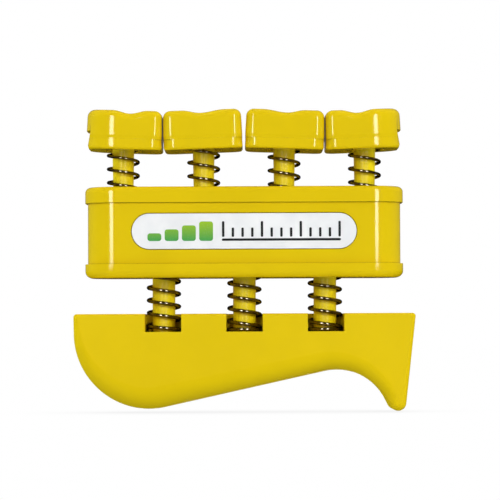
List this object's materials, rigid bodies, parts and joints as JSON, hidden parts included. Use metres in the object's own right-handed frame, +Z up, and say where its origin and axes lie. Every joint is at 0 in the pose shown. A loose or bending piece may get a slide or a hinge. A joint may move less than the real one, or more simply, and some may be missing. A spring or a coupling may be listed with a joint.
{
  "type": "finger exerciser",
  "caption": "Hand exerciser: sprung finger buttons on a hollow housing, which slides on sprung posts above a curved palm grip with a thumb-side hook.",
  "frame": {"origin": "bottom of the bounding box, centred in length and depth: the level of the hook's tip, under the middle post", "axes": "+Z up along the direction the buttons travel, +X along the row of buttons towards the hooked end of the palm grip, -Y towards the badge side"},
  "size_m": [0.1012, 0.0254, 0.0901],
  "materials": {
    "yellow_plastic": "glossy moulded, bright yellow",
    "yellow_grip": "semi-gloss moulded, bright yellow",
    "spring_wire": "dark oiled spring steel wire",
    "clip_steel": "stamped phosphated steel",
    "badge_white": "satin printed plate"
  },
  "bodies": {
    "grip": {"palm_grip_front": "yellow_grip", "palm_grip_rear": "yellow_grip", "guide_post_1": "yellow_plastic", "guide_post_2": "yellow_plastic", "guide_post_3": "yellow_plastic", "post_clip_1": "clip_steel", "post_clip_2": "clip_steel", "post_clip_3": "clip_steel", "post_spring_1": "spring_wire", "post_spring_2": "spring_wire", "post_spring_3": "spring_wire"},
    "housing": {"housing_top_cap": "yellow_plastic", "housing_sleeve": "yellow_plastic", "housing_bottom_cap": "yellow_plastic", "badge": "badge_white", "finger_spring_1": "spring_wire", "finger_spring_2": "spring_wire", "finger_spring_3": "spring_wire", "finger_spring_4": "spring_wire"},
    "finger_1": {"finger_pad_1": "yellow_plastic", "button_base_1": "yellow_plastic", "plunger_1": "yellow_plastic", "plunger_clip_1": "clip_steel"},
    "finger_2": {"finger_pad_2": "yellow_plastic", "button_base_2": "yellow_plastic", "plunger_2": "yellow_plastic", "plunger_clip_2": "clip_steel"},
    "finger_3": {"finger_pad_3": "yellow_plastic", "button_base_3": "yellow_plastic", "plunger_3": "yellow_plastic", "plunger_clip_3": "clip_steel"},
    "finger_4": {"finger_pad_4": "yellow_plastic", "button_base_4": "yellow_plastic", "plunger_4": "yellow_plastic", "plunger_clip_4": "clip_steel"}
  },
  "joints": [
    {"name": "housing_press", "type": "slide", "parent": "grip", "child": "housing", "axis": [0, 0, -1], "range_m": [0, 0.0085], "stiffness_N_per_m": 2200, "springref_m": -0.0036, "deforming": ["post_spring_1", "post_spring_2", "post_spring_3"]},
    {"name": "finger_1_press", "type": "slide", "parent": "housing", "child": "finger_1", "axis": [0, 0, -1], "range_m": [0, 0.0065], "stiffness_N_per_m": 720, "springref_m": -0.0028, "deforming": ["finger_spring_1"]},
    {"name": "finger_2_press", "type": "slide", "parent": "housing", "child": "finger_2", "axis": [0, 0, -1], "range_m": [0, 0.0065], "stiffness_N_per_m": 720, "springref_m": -0.0028, "deforming": ["finger_spring_2"]},
    {"name": "finger_3_press", "type": "slide", "parent": "housing", "child": "finger_3", "axis": [0, 0, -1], "range_m": [0, 0.0065], "stiffness_N_per_m": 720, "springref_m": -0.0028, "deforming": ["finger_spring_3"]},
    {"name": "finger_4_press", "type": "slide", "parent": "housing", "child": "finger_4", "axis": [0, 0, -1], "range_m": [0, 0.0065], "stiffness_N_per_m": 720, "springref_m": -0.0028, "deforming": ["finger_spring_4"]}
  ]
}
